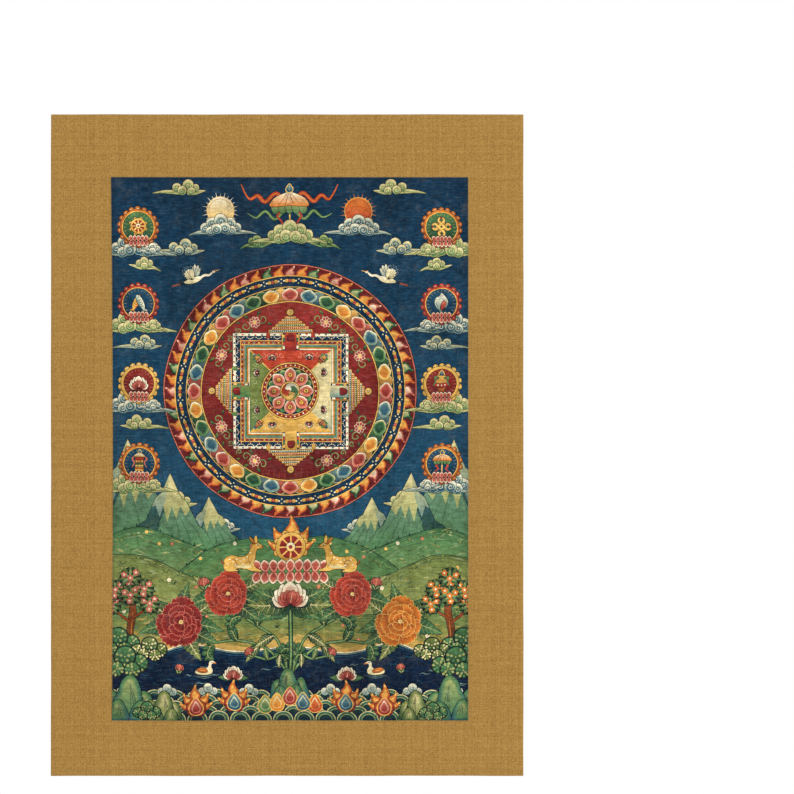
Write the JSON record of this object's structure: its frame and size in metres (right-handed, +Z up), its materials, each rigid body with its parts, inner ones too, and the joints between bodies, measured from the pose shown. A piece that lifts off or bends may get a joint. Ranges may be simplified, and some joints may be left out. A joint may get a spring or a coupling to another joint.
{
  "type": "thangka scroll painting",
  "caption": "Flat rectangular wall hanging: a sheet of golden-brown woven mount cloth with a painted cloth panel laid on its face, held along its top edge.",
  "frame": {"origin": "middle of the top edge, on the back of the mount cloth", "axes": "+Z up along the hanging's height, +X along its width to the viewer's right, -Y out of the painted face"},
  "size_m": [0.508, 0.0025, 0.7112],
  "materials": {
    "mount_cloth": "matt golden-brown plain weave",
    "painted_cloth": "matt pigment on fine cotton, aged"
  },
  "bodies": {
    "root": {"mount_cloth": "mount_cloth", "painted_panel": "painted_cloth"}
  },
  "joints": []
}
